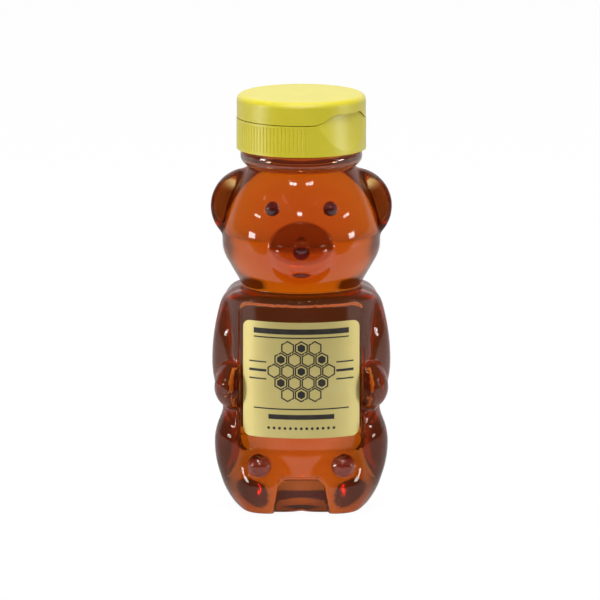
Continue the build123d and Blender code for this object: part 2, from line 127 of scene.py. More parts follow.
def sector_egg(r, h, girth, tip, tail, share):
    """A turned body of four arcs, from the distance to its axis and the height."""
    blunt = girth * share
    out = np.empty_like(r)
    for reach, mask in ((tip, h >= 0), (tail, h < 0)):
        rise = reach - blunt
        side = (girth**2 + rise**2 - blunt**2) / (2 * (girth - blunt))
        qx = r[mask] - (girth - side)
        qh = np.abs(h[mask])
        flank = rise * qx - (side - girth) * qh > 0
        flat = np.hypot(qx, qh) - side
        end = np.hypot(r[mask], qh - rise) - blunt
        out[mask] = np.where(flank, flat, end)
    return out


def upright_egg(x, y, z, at, girth, tip, tail, share=BLUNT):
    return sector_egg(np.hypot(x - at[0], y - at[1]), z - at[2], girth, tip, tail, share)


def facing_egg(x, y, z, at, girth, tip):
    return sector_egg(np.hypot(x - at[0], z - at[2]), at[1] - y, girth, tip, tip, BLUNT)


def ball(x, y, z, at, radius):
    return np.sqrt((x - at[0]) ** 2 + (y - at[1]) ** 2 + (z - at[2]) ** 2) - radius


def corner(a, b, radius):
    """The round edge where two half spaces meet."""
    qa, qb = a + radius, b + radius
    inner = np.minimum(np.maximum(qa, qb), 0)
    return inner + np.hypot(np.maximum(qa, 0), np.maximum(qb, 0)) - radius


def join(a, b, soft):
    share = np.clip(0.5 + 0.5 * (b - a) / soft, 0, 1)
    return b * (1 - share) + a * share - soft * share * (1 - share)


def cut(a, b, soft):
    return -join(-a, b, soft)


def oval(x, y, inset=0.0):
    """The trunk's section, drawn in by the inset."""
    width, depth, broad = TRUNK_HALF_WIDTH - inset, TRUNK_HALF_DEPTH - inset, TRUNK_BROAD - inset
    drop = broad - depth
    side = (broad**2 - drop**2 - width**2) / (2 * (broad - width))
    ax, ay = np.abs(x), np.abs(y)
    qx = ax - (width - side)
    at_side = (width - side) * ay - drop * qx < 0
    return np.where(at_side, np.hypot(qx, ay) - side, np.hypot(ax, ay + drop) - broad)


def field_trunk(x, y, z):
    flat = oval(x, y)
    top = corner(flat, z - TRUNK_TOP, TRUNK_TOP_ROUND)
    foot = corner(flat, -z, TRUNK_FOOT_ROUND)
    body = np.where(z > TRUNK_MIDDLE, top, foot)
    shoulder = corner(np.abs(x) - TRUNK_HALF_WIDTH, z - TRUNK_TOP, SHOULDER_ROUND)
    return np.maximum(body, shoulder)


def field_head(x, y, z):
    """Straight jaw, round cheek and long crown."""
    r = np.hypot(x, y)
    crown = np.hypot(r - (CHEEK_REACH - CROWN_ROUND), z - CHEEK_HEIGHT) - CROWN_ROUND
    qr, qz = r - (CHEEK_REACH - CHEEK_ROUND), z - CHEEK_HEIGHT
    cheek = np.hypot(qr, qz) - CHEEK_ROUND
    jaw = qr * math.cos(JAW_SLOPE) - qz * math.sin(JAW_SLOPE) - CHEEK_ROUND
    on_jaw = qz * math.cos(JAW_SLOPE) + qr * math.sin(JAW_SLOPE) < 0
    low = np.where(on_jaw, jaw, cheek)
    body = np.where(z > CHEEK_HEIGHT, crown, low)
    return np.maximum(np.maximum(body, z - HEAD_TOP), HEAD_BOTTOM - z)


def field_ear(ax, y, z):
    disc = np.hypot(ax - EAR_AT[0], z - EAR_AT[2]) - EAR_RADIUS
    slab = np.abs(y - EAR_AT[1]) - EAR_HALF_THICK
    body = corner(disc, slab, EAR_ROUND)
    return cut(body, ball(ax, y, z, DISH_AT, DISH_RADIUS), soft=1.2)


def ridge_arc(x, z, centre, radius, start, stop, half_width):
    """The distance, in the front view, to an arc of a circle between two angles."""
    qx, qz = x - centre[0], z - centre[1]
    angle = np.clip(np.arctan2(qz, qx), math.radians(start), math.radians(stop))
    px, pz = radius * np.cos(angle), radius * np.sin(angle)
    return np.hypot(qx - px, qz - pz) / half_width


def bump(distance, height):
    """A smooth ridge or, with a negative height, a groove."""
    return height * np.clip(1 - distance**2, 0, 1) ** 2


def field_relief(x, y, z):
    """How far the brows and the mould's seam stand out and the smile and fingers sink in."""
    ax = np.abs(x)
    in_face = np.clip((-y - FACE_FROM) / FACE_FADE, 0, 1)
    in_paw = np.clip((-y - PAW_FROM) / PAW_FADE, 0, 1)
    relief = bump(ridge_arc(ax, z, *BROW), BROW_HEIGHT) * in_face
    relief += bump(ridge_arc(x, z, *SMILE), -SMILE_DEPTH) * in_face
    relief += bump(ridge_arc(ax, z, *FINGER), -FINGER_DEPTH) * in_paw
    return relief + bump(y / SEAM_HALF_WIDTH, SEAM_HEIGHT)


def field_arch(ax, y, z):
    """The arch between the feet, narrower as it rises."""
    side = (ax - ARCH_HALF_WIDTH + np.maximum(z, 0) * ARCH_TILT) / math.hypot(1, ARCH_TILT)
    return np.maximum(corner(side, z - ARCH_HEIGHT, ARCH_ROUND), ARCH_FROM + y)


def field_body(x, y, z):
    """The whole closed bear, with the fine relief of its mould."""
    ax = np.abs(x)
    body = join(field_trunk(x, y, z), field_head(x, y, z), soft=1.6)
    for limb, soft in LIMB_JOINS:
        body = join(body, upright_egg(ax, y, z, *limb), soft)
    body = join(body, ball(ax, y, z, TOE_AT, TOE_RADIUS), soft=0.5)
    body = join(body, field_ear(ax, y, z), soft=1.2)
    muzzle = facing_egg(x / FACE_WIDEN, y, z, MUZZLE_AT, MUZZLE_GIRTH, MUZZLE_REACH)
    body = join(body, muzzle, soft=0.8)
    body -= field_relief(x, y, z)
    high = np.abs(z - PANEL_MIDDLE) - PANEL_HALF_HEIGHT
    panel = corner(ax - PANEL_HALF_WIDTH, high, PANEL_ROUND)
    body = cut(body, np.maximum(panel, -oval(x, y, PANEL_DEPTH)), soft=0.5)
    body = cut(body, ball(x, y, z, BASE_DOME_AT, BASE_DOME_RADIUS), soft=0.6)
    body = cut(body, field_arch(ax, y, z), soft=0.8)
    return corner(body, -z, BASE_EDGE_ROUND)


def field_thread(x, y, z):
    """One thick run of thread that climbs round the neck."""
    theta = np.arctan2(y, x)
    thread = np.full_like(x, FAR)
    for turn in range(2):
        t = np.clip(theta + 2 * math.pi * turn, THREAD_START, THREAD_STOP)
        crest = THREAD_BOTTOM + THREAD_PITCH * (t - THREAD_START) / (2 * math.pi)
        px, py = THREAD_RADIUS * np.cos(t), THREAD_RADIUS * np.sin(t)
        thread = np.minimum(thread, np.sqrt((x - px) ** 2 + (y - py) ** 2 + (z - crest) ** 2))
    return thread - THREAD_THICK


def field_neck(x, y, z):
    """The rolled collar, the finish, its rim and the thread."""
    r = np.hypot(x, y)
    collar = corner(r - COLLAR_RADIUS, z - COLLAR_TOP, COLLAR_ROUND)
    flare = (r - FLARE_FROM) * FLARE_OUT - (z - COLLAR_BOTTOM) * FLARE_UP
    collar = cut(collar, -corner(flare, r - COLLAR_RADIUS, FLARE_ROUND), soft=0.3)
    finish = corner(r - FINISH_RADIUS, z - RIM, RIM_ROUND)
    below = COLLAR_BOTTOM - NECK_SUNK - z
    neck = join(np.maximum(collar, below), np.maximum(finish, below), soft=0.5)
    return join(neck, field_thread(x, y, z), soft=0.4)


def face_beads(x, y, z):
    tall = (z - NOSE_HEIGHT) / NOSE_TALL
    nose = ball(x / FACE_WIDEN, y, tall, (0, NOSE_Y, 0), NOSE_RADIUS)
    return np.minimum(nose, ball(np.abs(x), y, z, EYE_AT, EYE_RADIUS))


def mouth(x, y, z):
    slope = math.atan2(MOUTH_HEIGHT, MOUTH_HALF_WIDTH)
    aside = np.abs(x) - MOUTH_HALF_WIDTH
    lid = aside * math.sin(slope) + (z - MOUTH_BOTTOM) * math.cos(slope)
    triangle = np.maximum(lid, MOUTH_BOTTOM - z)
    girth, reach = MUZZLE_GIRTH - MOUTH_DEPTH, MUZZLE_REACH - MOUTH_DEPTH
    deep = facing_egg(x / FACE_WIDEN, y, z, MUZZLE_AT, girth, reach)
    return np.maximum(np.maximum(triangle, -deep), FACE_FROM + y)


def field_closed(x, y, z):
    """The bear with its beads and neck, closed at the rim."""
    body = join(field_body(x, y, z), face_beads(x, y, z), soft=0.25)
    body = cut(body, mouth(x, y, z), soft=0.3)
    return join(body, field_neck(x, y, z), soft=0.6)


def field_cavity(x, y, z, wall=WALL):
    """The space inside the wall, open through the bore."""
    body = join(field_body(x, y, z), face_beads(x, y, z), soft=0.5) + wall
    body = np.maximum(body, z - COLLAR_BOTTOM - HEADROOM)
    bore = np.hypot(x, y) - BORE + (wall - WALL)
    bore = np.maximum(bore, COLLAR_BOTTOM - BORE_SUNK - z)
    return join(body, bore, soft=1.0)


def field_honey(x, y, z):
    """Honey a little inside the wall, level on top but where it creeps up the bore."""
    meniscus = MENISCUS * np.exp(-(BORE - np.hypot(x, y)) / MENISCUS_REACH)
    return np.maximum(field_cavity(x, y, z, WALL - WETTED), z - FILL - meniscus)


# Meshes of the fields: the grid's box without its top, its cells, and how close to the
# bore, the rim and the honey's level a point has to be to count as part of them

GRID_LOW = (-33.5, -34.5, -1.5)
GRID_HIGH = (33.5, 29.5)
ABOVE_RIM, ABOVE_FILL = 2, 2.5
BOTTLE_CELL, BOTTLE_CELL_QUICK = 0.62, 1.1
HONEY_CELL, HONEY_CELL_QUICK = 0.7, 1.2
SLAB = 24
NECK_FOOT = COLLAR_BOTTOM + 3
NEAR_BORE, NEAR_RIM, NEAR_FILL = 0.4, 0.2, 0.3
SETTLE_ROUNDS, SETTLE_STEP, SETTLE_MOST = 3, 0.03, 0.4
SLOPE_LEAST = 0.2


def grid(top, cell):
    return [np.arange(a, b + cell, cell) for a, b in zip(GRID_LOW, (*GRID_HIGH, top))]


def sample(field, axes):
    """A field on the grid, slab by slab to keep memory small."""
    x, y, z = axes
    out = np.empty((len(x), len(y), len(z)), np.float32)
    for start in range(0, len(z), SLAB):
        part = z[start : start + SLAB]
        block = np.meshgrid(x, y, part, indexing="ij")
        out[:, :, start : start + SLAB] = field(*block)
    return out


def crossings(values, skip, axis):
    """Grid edges along an axis where the sign changes: their index, the share, the way."""
    n = values.shape
    a = [slice(None)] * 3
    b = [slice(None)] * 3
    a[axis], b[axis] = slice(0, n[axis] - 1), slice(1, n[axis])
    va, vb = values[tuple(a)], values[tuple(b)]
    found = (va < 0) != (vb < 0)
    if skip is not None:
        found &= ~(skip[tuple(a)] & skip[tuple(b)])
    where = np.argwhere(found)
    inner = np.ones(len(where), bool)
    for other in range(3):
        if other != axis:
            inner &= (where[:, other] > 0) & (where[:, other] < n[other] - 1)
    where = where[inner]
    va, vb = va[tuple(where.T)], vb[tuple(where.T)]
    return where, va / (va - vb), va < 0


class Net:
    """A quad mesh of one or two level surfaces on a common grid."""

    def __init__(self, axes):
        self.low = np.array([a[0] for a in axes])
        self.cell = axes[0][1] - axes[0][0]
        self.shape = tuple(len(a) - 1 for a in axes)
        self.keys, self.points, self.quads = [], [], []

    def add(self, values, skip=None, flip=False, tag=0, shared=None):
        """One surface. At the heights marked as shared a cell has one vertex for both."""
        for axis in range(3):
            where, share, down = crossings(values, skip, axis)
            spot = where.astype(float)
            spot[:, axis] += share
            others = [o for o in range(3) if o != axis]
            cells = []
            for du, dv in ((-1, -1), (0, -1), (0, 0), (-1, 0)):
                c = where.copy()
                c[:, others[0]] += du
                c[:, others[1]] += dv
                flat = np.ravel_multi_index(c.T, self.shape)
                mark = np.full(len(c), tag)
                if shared is not None:
                    mark[shared[c[:, 2]]] = 0
                cells.append(flat * 2 + mark)
            quad = np.stack(cells, 1)
            turn = down ^ flip ^ (axis == 1)
            quad[~turn] = quad[~turn][:, ::-1]
            self.keys.append(np.concatenate(cells))
            self.points.append(np.tile(spot, (4, 1)))
            self.quads.append(quad)

    def mesh(self):
        """Vertices, quads and a mark on the vertices that only the tagged surface has."""
        keys = np.concatenate(self.keys)
        points = np.concatenate(self.points)
        names, index = np.unique(keys, return_inverse=True)
        total = np.zeros((len(names), 3))
        for k in range(3):
            total[:, k] = np.bincount(index, points[:, k], len(names))
        verts = total / np.bincount(index, minlength=len(names))[:, None]
        verts = verts * self.cell + self.low
        quads = np.searchsorted(names, np.concatenate(self.quads))
        return verts, quads, names % 2 == 1


def settle(verts, field):
    """Moves points onto a field's zero surface."""
    step = SETTLE_STEP
    for _ in range(SETTLE_ROUNDS):
        x, y, z = verts.T
        here = field(x, y, z)
        slope = np.stack(
            [
                field(x + step, y, z) - field(x - step, y, z),
                field(x, y + step, z) - field(x, y - step, z),
                field(x, y, z + step) - field(x, y, z - step),
            ],
            1,
        ) / (2 * step)
        size = np.maximum((slope**2).sum(1), SLOPE_LEAST)
        move = slope * (here / size)[:, None]
        far = np.linalg.norm(move, axis=1)
        move *= np.minimum(1, SETTLE_MOST / np.maximum(far, 1e-9))[:, None]
        verts = verts - move
    return verts


def piece(name, verts, faces, smooth=True):
    """A mesh object from millimetre points about the neck's axis."""
    mesh = bpy.data.meshes.new(name)
    place = (np.asarray(verts) + (0, NECK_Y, 0)) * MM
    mesh.from_pydata(place.tolist(), [], np.asarray(faces).tolist())
    mesh.update()
    if smooth:
        mesh.shade_smooth()
    obj = bpy.data.objects.new(name, mesh)
    bpy.context.scene.collection.objects.link(obj)
    return obj


def make_bottle():
    """The blown shell: its outer face, its inner face and the open rim between them."""
    cell = BOTTLE_CELL
    axes = grid(RIM + ABOVE_RIM, cell)
    outer = sample(field_closed, axes)
    inner = sample(field_cavity, axes)
    net = Net(axes)
    net.add(outer, skip=inner < 0)
    net.add(inner, skip=outer > 0, flip=True, tag=1, shared=axes[2][:-1] > NECK_FOOT)
    verts, quads, is_inner = net.mesh()
    height = verts[:, 2]
    bore_side = np.hypot(verts[:, 0], verts[:, 1]) < BORE + NEAR_BORE
    bore_side &= (height > NECK_FOOT) & (height < RIM + NEAR_RIM)
    rim = bore_side & (height > RIM - cell)
    inside = is_inner | (bore_side & ~rim)
    outside = ~inside & ~rim
    verts[inside] = settle(verts[inside], field_cavity)
    verts[outside] = settle(verts[outside], field_closed)
    return piece("bear_bottle", verts, quads)


def make_honey():
    cell = HONEY_CELL
    axes = grid(FILL + ABOVE_FILL, cell)
    net = Net(axes)
    net.add(sample(field_honey, axes))
    verts, quads, _ = net.mesh()
    below = verts[:, 2] <= FILL - NEAR_FILL
    verts[below] = settle(verts[below], field_honey)
    return piece("honey", verts, quads)


# The living hinge: its outer face, its line, the way it faces from +X, the web that bends

STRAP_FACE = 22.65
HINGE_LINE = 137.35
STRAP_WAY = math.radians(138)
STRAP_HALF_WIDTH = 4
STRAP_THICK, WEB_THICK, WEB_REACH = 0.5, 0.25, 0.3
STRAP_ROWS = (-1.65, -1.1, -0.6, -0.3, -0.2, -0.1, 0, 0.1, 0.2, 0.3, 0.6, 1.2, 1.85)


def make_strap():
    """The hinge, thinned to a web along its line, in rows across its height."""
    outward = np.array([math.cos(STRAP_WAY), math.sin(STRAP_WAY), 0])
    across = np.array([-outward[1], outward[0], 0])
    half = STRAP_HALF_WIDTH
    verts, faces = [], []
    for rise in STRAP_ROWS:
        more = (STRAP_THICK - WEB_THICK) * min(1, abs(rise) / WEB_REACH)
        back = STRAP_FACE - WEB_THICK - more
        for out, side in ((STRAP_FACE, -half), (STRAP_FACE, half), (back, half), (back, -half)):
            verts.append(outward * out + across * side + (0, 0, HINGE_LINE + rise))
    for k in range(4 * (len(STRAP_ROWS) - 1)):
        turn = k - 3 if k % 4 == 3 else k + 1
        faces.append((k, turn, turn + 4, k + 4))
    last = len(verts)
    faces += [(3, 2, 1, 0), (last - 4, last - 3, last - 2, last - 1)]
    strap = piece("strap", verts, faces, smooth=False)
    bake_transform(strap)
    return strap


# Print on the front label: rules and a honeycomb, each shape its own ink patch

LABEL_RADIUS, LABEL_DROP = 30.0, 5.0
LABEL_DEPTH = 0.25
LABEL_MIDDLE = 47.9
INK = 0.02
RULE_STEP = 1.2

# Rules as half width, height from the label's middle, thickness
TOP_RULES = ((16.6, 17.2, 1.9), (16.6, 15.0, 0.45))
SIDE_RULES = ((3.0, 6.2, 0.5), (3.0, 3.2, 0.9), (3.0, 0.2, 0.5))
SIDE_RULES_AT = 15.2
BOTTOM_RULES = ((16.6, -10.2, 0.45), (11.5, -13.0, 1.7))
COMB_HEIGHT, COMB_RINGS = 3.2, 2
COMB_CELL, COMB_LINE, COMB_GAP, COMB_FILLED = 2.75, 0.55, 0.12, 0.55
DOTS_EACH_SIDE, DOT_PITCH, DOT_HEIGHT, DOT_RADIUS = 6, 1.9, -17.0, 0.55
PINHOLE = 0.02


def on_label(u, v, lift):
    """A point of the label's face, u across it and v up from its middle."""
    radius = LABEL_RADIUS - LABEL_DEPTH + lift
    return (u, LABEL_DROP - math.sqrt(radius**2 - u**2), LABEL_MIDDLE + v)


class Print:
    """Thin closed patches that follow the label."""

    def __init__(self):
        self.verts, self.faces = [], []

    def strip(self, left, right):
        """A band between two equally long lists of points."""
        count = len(left)
        start = len(self.verts)
        for lift in (INK, -INK):
            for point in left + right:
                self.verts.append(on_label(*point, lift))
        a, b = start, start + count
        c, d = start + 2 * count, start + 3 * count
        for k in range(count - 1):
            self.faces.append((a + k, a + k + 1, b + k + 1, b + k))
            self.faces.append((c + k, d + k, d + k + 1, c + k + 1))
            self.faces.append((a + k, c + k, c + k + 1, a + k + 1))
            self.faces.append((b + k, b + k + 1, d + k + 1, d + k))
        self.faces.append((a, b, d, c))
        e = count - 1
        self.faces.append((a + e, c + e, d + e, b + e))

    def rule(self, half, v, thick, middle=0.0):
        """A straight rule across the label."""
        steps = max(2, int(2 * half / RULE_STEP) + 1)
        across = [middle - half + 2 * half * k / (steps - 1) for k in range(steps)]
        self.strip([(u, v + thick / 2) for u in across], [(u, v - thick / 2) for u in across])

    def hexagon(self, u, v, outer, inner=PINHOLE):
        """A hexagonal frame, or a filled one with no more than a pinhole."""
        ring = [math.radians(90 + 60 * k) for k in range(6)]
        big = [(u + outer * math.cos(a), v + outer * math.sin(a)) for a in ring]
        small = [(u + inner * math.cos(a), v + inner * math.sin(a)) for a in ring]
        for k in range(6):
            n = (k + 1) % 6
            self.strip([small[k], small[n]], [big[k], big[n]])

    def honeycomb(self):
        """Rings of cells round a middle one, some of them filled."""
        pitch = COMB_CELL * math.sqrt(3)
        outer = COMB_CELL - COMB_GAP
        reach = range(-COMB_RINGS, COMB_RINGS + 1)
        cells = [(q, r) for q in reach for r in reach if abs(q + r) <= COMB_RINGS]
        for q, r in cells:
            u = pitch * (q + r / 2)
            v = COMB_HEIGHT + COMB_CELL * 1.5 * r
            self.hexagon(u, v, outer, outer - COMB_LINE)
            if (q - r) % 3 == 0:
                self.hexagon(u, v, COMB_CELL * COMB_FILLED)


def make_print():
    ink = Print()
    for rule in TOP_RULES:
        ink.rule(*rule)
    ink.honeycomb()
    for side in (-1, 1):
        for rule in SIDE_RULES:
            ink.rule(*rule, side * SIDE_RULES_AT)
    for rule in BOTTOM_RULES:
        ink.rule(*rule)
    for k in range(-DOTS_EACH_SIDE, DOTS_EACH_SIDE + 1):
        ink.hexagon(k * DOT_PITCH, DOT_HEIGHT, DOT_RADIUS)
    return piece("label_print", ink.verts, ink.faces, smooth=False)


# Materials


class Tree:
    """The nodes of a material or world, with short ways to add and join them."""

    def __init__(self, owner):
        owner.use_nodes = True
        self.nodes = owner.node_tree.nodes
        self.links = owner.node_tree.links

    def set(self, socket, value):
        """Links a socket to another node's output, or gives it a plain value."""
        if isinstance(value, bpy.types.NodeSocket):
            self.links.new(value, socket)
        else:
            socket.default_value = value

    def math(self, operation, *values):
        node = self.nodes.new("ShaderNodeMath")
        node.operation = operation
        for socket, value in zip(node.inputs, values):
            self.set(socket, value)
        return node.outputs[0]

    def vector(self, operation, *values):
        node = self.nodes.new("ShaderNodeVectorMath")
        node.operation = operation
        for socket, value in zip(node.inputs, values):
            self.set(socket, value)
        return node.outputs["Value" if operation == "LENGTH" else "Vector"]

    def remap(self, value, low, high, to_low=0.0, to_high=1.0, smooth=False):
        node = self.nodes.new("ShaderNodeMapRange")
        if smooth:
            node.interpolation_type = "SMOOTHSTEP"
        node.inputs["From Min"].default_value = low
        node.inputs["From Max"].default_value = high
        node.inputs["To Min"].default_value = to_low
        node.inputs["To Max"].default_value = to_high
        self.links.new(value, node.inputs["Value"])
        return node.outputs["Result"]

    def mix(self, share, a, b, kind="MIX"):
        """Two colours mixed, all b where the share is 1."""
        node = self.nodes.new("ShaderNodeMix")
        node.data_type = "RGBA"
        node.blend_type = kind
        self.set(node.inputs["Factor"], share)
        self.set(node.inputs["A"], a)
        self.set(node.inputs["B"], b)
        return node.outputs["Result"]

    def ramp(self, value, low, high, start=0.3, stop=0.7):
        """Goes from one colour, or grey, to another as the value rises."""
        node = self.nodes.new("ShaderNodeValToRGB")
        for element, place, tone in zip(node.color_ramp.elements, (start, stop), (low, high)):
            element.position = place
            element.color = (*tone, 1) if isinstance(tone, tuple) else (tone, tone, tone, 1)
        self.links.new(value, node.inputs["Fac"])
        return node.outputs["Color"]

    def place(self, kind="Object"):
        return self.nodes.new("ShaderNodeTexCoord").outputs[kind]

    def parts(self, vector):
        node = self.nodes.new("ShaderNodeSeparateXYZ")
        self.links.new(vector, node.inputs["Vector"])
        return node.outputs["X"], node.outputs["Y"], node.outputs["Z"]

    def noise(self, scale, detail=3, stretch=(1, 1, 1)):
        node = self.nodes.new("ShaderNodeTexNoise")
        node.inputs["Scale"].default_value = scale
        node.inputs["Detail"].default_value = detail
        self.links.new(self.vector("MULTIPLY", self.place(), stretch), node.inputs["Vector"])
        return node.outputs["Fac"]

    def bump(self, shader, height, strength, distance_m):
        node = self.nodes.new("ShaderNodeBump")
        node.inputs["Strength"].default_value = strength
        node.inputs["Distance"].default_value = distance_m
        self.links.new(height, node.inputs["Height"])
        self.links.new(node.outputs["Normal"], shader.inputs["Normal"])

    def glow(self, colour, strength):
        node = self.nodes.new("ShaderNodeEmission")
        node.inputs["Color"].default_value = (*colour, 1)
        node.inputs["Strength"].default_value = strength
        return node.outputs[0]

    def mix_shaders(self, share, a, b):
        node = self.nodes.new("ShaderNodeMixShader")
        self.links.new(share, node.inputs["Fac"])
        self.links.new(a, node.inputs[1])
        self.links.new(b, node.inputs[2])
        return node.outputs[0]


def material(name):
    mat = bpy.data.materials.new(name)
    tree = Tree(mat)
    return mat, tree, tree.nodes["Principled BSDF"]


PET_INDEX = 1.57
WETTED_INDEX = 1.12
CLEAR = (0.985, 0.985, 0.98, 1)
UNTINTED = (1, 1, 1, 1)
DRY_FROM, DRY_TO = COLLAR_BOTTOM + 0.4, COLLAR_BOTTOM + 1.2
LEVEL_SOFT = 0.8

# Where the wall is tinted, both sides at once: a middle, three radii, how soft, the tint.
# The tints are painted shade for the dark that bent light gives the beads, mouth, muzzle,
# ears, feet and paws; the collar's amber stands in for the honey's colour.
# The glossy ones shine as a dry wall does. A fifth value is the lowest height of the tint.
GLOSSY_PAINTED_SHADE_SPOTS = [
    # Eyes: painted shade, dark beads
    ((10.0, -22.4, 108.3), (2.5, 2.8, 2.5), 0.12, (0.20, 0.04, 0.06, 1)),
    # Nose: painted shade
    ((0.0, -31.0, 94.2), (2.8, 3.0, 2.4), 0.18, (0.26, 0.03, 0.04, 1)),
    # Toes: painted shade
    ((14.4, -24.4, 17.6), (3.9, 4.2, 4.0), 0.15, (0.40, 0.16, 0.11, 1)),
]
PAINTED_SHADE_AND_TINT_SPOTS = [
    # Lower halves of the eyes: painted shade
    ((10.0, -22.4, 107.4), (2.5, 2.8, 1.5), 0.2, (0.40, 0.25, 0.30, 1)),
    # Mouth: painted shade in its recess
    ((0.0, -31.0, 85.6), (4.2, 4.0, 1.3), 0.2, (0.22, 0.05, 0.04, 1)),
    # Muzzle: light painted shade
    ((0.0, -27.0, 96.6), (11.4, 9.5, 7.6), 0.06, (0.80, 0.68, 0.62, 1)),
    # Muzzle's upper half: painted shade
    ((0.0, -27.0, 94.0), (11.2, 9.5, 10.4), 0.06, (0.50, 0.42, 0.42, 1), 94.2),
    # Ears: painted shade
    ((27.0, 2.0, 103.5), (10.0, 9.0, 10.8), 0.14, (0.50, 0.25, 0.14, 1)),
    ((0.0, 0.0, 122.2), (23.0, 23.0, 4.0), 0.08, (0.70, 0.42, 0.22, 1)),
    # Legs and feet: painted shade
    ((21.0, -8.0, 11.0), (18.0, 18.0, 22.0), 0.3, (0.62, 0.58, 0.52, 1)),
    # Arch between the feet: painted shade
    ((0.0, -18.0, 4.6), (11.0, 7.0, 8.4), 0.2, (0.62, 0.60, 0.64, 1)),
    # Beside the paws: painted shade over the light seen through there
    ((21.8, -18.0, 42.0), (3.6, 7.0, 9.5), 0.3, (0.46, 0.32, 0.30, 1)),
]


def away_from_spot(tree, at, radii, soft, lowest=-1.0):
    """0 inside an ellipsoid on either side of the bear, above a lowest height, 1 elsewhere."""
    x, y, z = tree.parts(tree.place())
    both = tree.nodes.new("ShaderNodeCombineXYZ")
    for socket, value in zip(both.inputs, (tree.math("ABSOLUTE", x), y, z)):
        tree.links.new(value, socket)
    middle = (at[0] * MM, (at[1] + NECK_Y) * MM, at[2] * MM)
    offset = tree.vector("SUBTRACT", both.outputs["Vector"], middle)
    scaled = tree.vector("DIVIDE", offset, tuple(r * MM for r in radii))
    away = tree.remap(tree.vector("LENGTH", scaled), 1 - soft, 1 + soft, smooth=True)
    below = tree.remap(z, (lowest - LEVEL_SOFT) * MM, (lowest + LEVEL_SOFT) * MM, 1, 0)
    return tree.math("MAXIMUM", away, below)


def clear_plastic():
    """Clear PET, with painted shade in spots. Where honey wets the wall only the honey's own
    surface bends the light.
    """
    mat, tree, shader = material("clear_pet")
    shader.inputs["Transmission Weight"].default_value = 1.0
    height = tree.parts(tree.place())[2]
    index = tree.remap(height, DRY_FROM * MM, DRY_TO * MM, WETTED_INDEX, PET_INDEX)
    colour = CLEAR
    for spot in GLOSSY_PAINTED_SHADE_SPOTS + PAINTED_SHADE_AND_TINT_SPOTS:
        away = away_from_spot(tree, *spot[:3], *spot[4:])
        if spot in GLOSSY_PAINTED_SHADE_SPOTS:
            index = tree.math("MAXIMUM", tree.remap(away, 0, 1, PET_INDEX, WETTED_INDEX), index)
        # Each spot multiplies in its tint: painted shade, or at the collar a honey tint.
        colour = tree.mix(1.0, colour, tree.mix(away, spot[3], UNTINTED), "MULTIPLY")
    tree.set(shader.inputs["Base Color"], colour)
    tree.set(shader.inputs["IOR"], index)
    grain = tree.noise(scale=55, detail=2)
    tree.bump(shader, grain, strength=0.12, distance_m=0.0006)
    tree.set(shader.inputs["Roughness"], tree.ramp(grain, 0.01, 0.03))
    return mat


def honey_liquid():
    """Amber honey. A faint painted glow in the volume stands in for the light that hazy honey
    scatters.
    """
    mat, tree, shader = material("amber_honey")
    shader.inputs["Base Color"].default_value = (1, 1, 1, 1)
    shader.inputs["Transmission Weight"].default_value = 1.0
    shader.inputs["IOR"].default_value = 1.5
    shader.inputs["Roughness"].default_value = 0.01
    amber_dye = tree.nodes.new("ShaderNodeVolumeAbsorption")
    amber_dye.inputs["Color"].default_value = (0.93, 0.68, 0.02, 1)
    amber_dye.inputs["Density"].default_value = 158.0
    # Painted glow: light that the honey gives off though no lamp reaches it
    dye_and_painted_glow = tree.nodes.new("ShaderNodeAddShader")
    tree.links.new(amber_dye.outputs["Volume"], dye_and_painted_glow.inputs[0])
    tree.links.new(tree.glow((1.0, 0.47, 0.10), strength=1.6), dye_and_painted_glow.inputs[1])
    tree.links.new(dye_and_painted_glow.outputs[0], tree.nodes["Material Output"].inputs["Volume"])
    return mat


def yellow_plastic():
    mat, tree, shader = material("yellow_polypropylene")
    tone = tree.ramp(tree.noise(scale=90), (0.76, 0.66, 0.03), (0.80, 0.70, 0.04))
    grain = tree.noise(scale=1400, detail=4)
    tree.set(shader.inputs["Base Color"], tone)
    tree.set(shader.inputs["Roughness"], tree.ramp(grain, 0.32, 0.42))
    tree.bump(shader, grain, strength=0.15, distance_m=0.0001)
    shader.inputs["Subsurface Weight"].default_value = 0.1
    shader.inputs["Subsurface Radius"].default_value = (0.004, 0.003, 0.0006)
    shader.inputs["IOR"].default_value = 1.49
    shader.inputs["Coat Weight"].default_value = 0.6
    shader.inputs["Coat Roughness"].default_value = 0.38
    return mat


def white_foam():
    mat, tree, shader = material("white_foam")
    cells = tree.noise(scale=2600, detail=2)
    tone = tree.ramp(cells, (0.80, 0.80, 0.77), (0.9, 0.9, 0.88))
    tree.set(shader.inputs["Base Color"], tone)
    tree.bump(shader, cells, strength=0.4, distance_m=0.0002)
    shader.inputs["Roughness"].default_value = 0.8
    return mat


def gold_foil():
    """Gold foil outside, dull dark brown on the side that faces the bottle."""
    mat, tree, shader = material("gold_foil")
    tone = tree.noise(scale=45, detail=2, stretch=(1, 1, 1.6))
    gold = tree.ramp(tone, (0.72, 0.60, 0.21), (0.78, 0.66, 0.26))
    inner_brown = tree.ramp(tone, (0.20, 0.15, 0.09), (0.26, 0.20, 0.12))
    facing = tree.parts(tree.place("Normal"))[1]
    outward = tree.math("MULTIPLY", facing, tree.parts(tree.place())[1])
    outside = tree.math("GREATER_THAN", outward, 0.0)
    tree.set(shader.inputs["Base Color"], tree.mix(outside, inner_brown, gold))
    tree.set(shader.inputs["Metallic"], tree.math("MULTIPLY", outside, 0.55))
    tree.bump(shader, tree.noise(scale=1800), strength=0.2, distance_m=0.00008)
    shader.inputs["Roughness"].default_value = 0.42
    return mat


